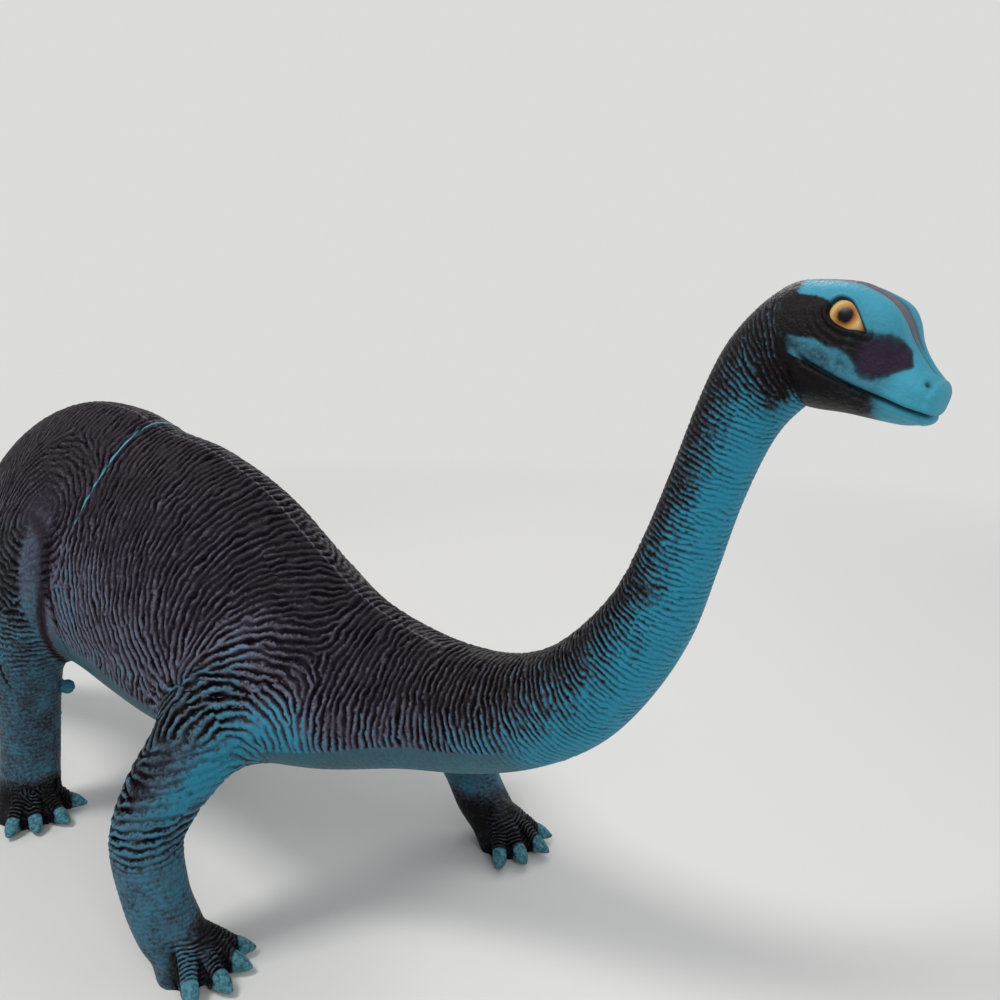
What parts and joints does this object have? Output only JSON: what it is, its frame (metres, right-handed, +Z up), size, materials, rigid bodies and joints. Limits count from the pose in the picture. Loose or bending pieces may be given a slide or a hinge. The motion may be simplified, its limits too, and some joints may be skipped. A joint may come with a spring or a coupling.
{
  "type": "toy dinosaur figure",
  "caption": "Walking long-necked toy dinosaur: hollow soft-vinyl trunk with neck, head, hindquarters, tail and plug-in legs, standing on flat soles.",
  "frame": {"origin": "middle of the bounding box in X and Y, on the surface that the soles rest on", "axes": "+X from the tail to the head, +Y to the animal's left, +Z up"},
  "size_m": [0.501, 0.1396, 0.1951],
  "materials": {
    "body_vinyl": "satin airbrushed paint and dark groove wash on soft vinyl",
    "head_vinyl": "satin paint on soft vinyl, with glossy painted eyes",
    "leg_vinyl": "satin airbrushed paint on soft vinyl, with pale painted nails"
  },
  "bodies": {
    "root": {"trunk_shell": "body_vinyl", "hindquarters_shell": "body_vinyl", "tail_shell": "body_vinyl", "head_shell": "head_vinyl", "right_foreleg": "leg_vinyl", "left_foreleg": "leg_vinyl", "right_hind_leg": "leg_vinyl", "left_hind_leg": "leg_vinyl"}
  },
  "joints": []
}
